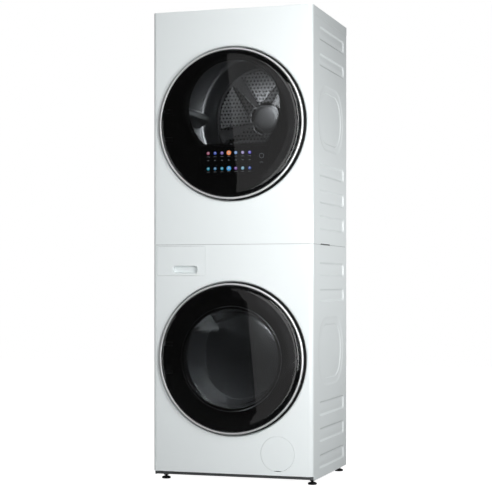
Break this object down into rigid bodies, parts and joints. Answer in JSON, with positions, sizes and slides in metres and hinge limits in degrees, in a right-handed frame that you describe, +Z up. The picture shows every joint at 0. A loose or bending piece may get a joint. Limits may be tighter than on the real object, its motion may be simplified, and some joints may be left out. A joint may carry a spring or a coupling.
{
  "type": "washer dryer stack",
  "caption": "Tall white stack of a heat pump dryer on a front loading washer, each with a round dark glass door, a detergent drawer, turning drums and levelling feet.",
  "frame": {"origin": "centre of the bounding box's underside, on the floor between the feet", "axes": "+Z up, +X to the right of a person facing the doors, +Y from the doors to the back"},
  "size_m": [0.595, 0.522, 1.685],
  "materials": {
    "white_paint": "smooth satin enamel on pressed sheet steel",
    "white_plastic": "fine grained moulded fascia",
    "pale_plastic": "moulded, light grey",
    "dark_plastic": "moulded, dark grey",
    "black_plastic": "smooth black door moulding",
    "smoked_glass": "dark printed door glass, polished",
    "clear_glass": "moulded clear bowl",
    "bright_ring": "satin bright ring",
    "drum_steel": "stainless sheet",
    "cast_aluminium": "die cast",
    "spring_steel": "drawn wire and plated steel",
    "concrete": "cast concrete weight",
    "grey_rubber": "moulded door seal",
    "black_rubber": "belt and foot rubber",
    "display": "black touch display",
    "black_paint": "painted steel shell"
  },
  "bodies": {
    "cabinet": {"base_tray": "dark_plastic", "stacking_frame": "dark_plastic", "top_cover": "white_paint", "washer_front_panel": "white_paint", "dryer_front_panel": "white_paint", "washer_left_side": "white_paint", "washer_right_side": "white_paint", "washer_back_panel": "white_paint", "dryer_left_side": "white_paint", "dryer_right_side": "white_paint", "dryer_back_panel": "white_paint", "washer_hinge_bracket": "cast_aluminium", "dryer_hinge_bracket": "cast_aluminium", "washer_tub": "pale_plastic", "tub_counterweight": "concrete", "door_gasket": "grey_rubber", "suspension_spring_left": "spring_steel", "suspension_spring_right": "spring_steel", "damper_left": "dark_plastic", "damper_right": "dark_plastic", "washer_motor": "cast_aluminium", "drive_belt": "black_rubber", "drain_pump": "pale_plastic", "inlet_valve": "pale_plastic", "cord_gland": "dark_plastic", "dispenser_box": "pale_plastic", "dryer_bulkhead": "pale_plastic", "compressor": "black_paint", "heat_exchanger": "cast_aluminium", "dryer_motor": "cast_aluminium", "dryer_belt": "black_rubber"},
    "washer_drum_body": {"washer_drum": "drum_steel", "drum_spider": "cast_aluminium", "drum_pulley": "cast_aluminium", "washer_paddle_1": "pale_plastic", "washer_paddle_2": "pale_plastic", "washer_paddle_3": "pale_plastic"},
    "motor_rotor": {"motor_pulley": "cast_aluminium"},
    "dryer_drum_body": {"dryer_drum": "drum_steel", "dryer_drum_back": "drum_steel", "dryer_lifter_1": "drum_steel", "dryer_lifter_2": "drum_steel", "dryer_lifter_3": "drum_steel"},
    "washer_door": {"washer_door_glass": "smoked_glass", "washer_door_ring": "bright_ring", "washer_door_frame": "black_plastic", "washer_door_bowl": "clear_glass"},
    "dryer_door": {"dryer_door_glass": "smoked_glass", "dryer_door_ring": "bright_ring", "dryer_door_frame": "black_plastic", "dryer_display": "display"},
    "detergent_drawer": {"drawer_front": "white_plastic", "drawer_tray": "pale_plastic"},
    "filter_flap": {"filter_cover": "white_plastic"},
    "drain_filter_cap": {"drain_filter": "dark_plastic"},
    "lint_filter_frame": {"lint_filter": "pale_plastic"},
    "foot_1": {"foot_front_left": "black_rubber"},
    "foot_2": {"foot_front_right": "black_rubber"},
    "foot_3": {"foot_rear_left": "black_rubber"},
    "foot_4": {"foot_rear_right": "black_rubber"}
  },
  "joints": [
    {"name": "washer_door_hinge", "type": "hinge", "parent": "cabinet", "child": "washer_door", "pos_m": [-0.256, -0.241, 0.444], "axis": [0, 0, -1], "range_deg": [0, 130]},
    {"name": "dryer_door_hinge", "type": "hinge", "parent": "cabinet", "child": "dryer_door", "pos_m": [-0.256, -0.241, 1.277], "axis": [0, 0, -1], "range_deg": [0, 130]},
    {"name": "washer_drum_spin", "type": "hinge", "parent": "cabinet", "child": "washer_drum_body", "pos_m": [0, -0.012, 0.444], "axis": [0, 1, 0], "continuous": true},
    {"name": "motor_spin", "type": "hinge", "parent": "cabinet", "child": "motor_rotor", "pos_m": [0.15, 0.168, 0.12], "axis": [0, 1, 0], "continuous": true},
    {"name": "dryer_drum_spin", "type": "hinge", "parent": "cabinet", "child": "dryer_drum_body", "pos_m": [0, 0.013, 1.342], "axis": [0, 1, 0], "continuous": true},
    {"name": "drawer_slide", "type": "slide", "parent": "cabinet", "child": "detergent_drawer", "axis": [0, -1, 0], "range_m": [0, 0.22]},
    {"name": "filter_flap_hinge", "type": "hinge", "parent": "cabinet", "child": "filter_flap", "pos_m": [0.17, -0.236, 0.053], "axis": [1, 0, 0], "range_deg": [0, 90]},
    {"name": "drain_filter_turn", "type": "hinge", "parent": "cabinet", "child": "drain_filter_cap", "pos_m": [0.17, -0.206, 0.112], "axis": [0, 1, 0], "range_deg": [-180, 0]},
    {"name": "lint_filter_slide", "type": "slide", "parent": "cabinet", "child": "lint_filter_frame", "axis": [0, 0, 1], "range_m": [0, 0.12]},
    {"name": "foot_1_turn", "type": "hinge", "parent": "cabinet", "child": "foot_1", "pos_m": [-0.276, -0.16, 0.005], "axis": [0, 0, 1], "continuous": true},
    {"name": "foot_2_turn", "type": "hinge", "parent": "cabinet", "child": "foot_2", "pos_m": [0.276, -0.16, 0.005], "axis": [0, 0, 1], "continuous": true},
    {"name": "foot_3_turn", "type": "hinge", "parent": "cabinet", "child": "foot_3", "pos_m": [-0.276, 0.223, 0.005], "axis": [0, 0, 1], "continuous": true},
    {"name": "foot_4_turn", "type": "hinge", "parent": "cabinet", "child": "foot_4", "pos_m": [0.276, 0.223, 0.005], "axis": [0, 0, 1], "continuous": true}
  ],
  "couplings": [
    {"joint": "motor_spin", "follows": "washer_drum_spin", "ratio": 11.667}
  ]
}
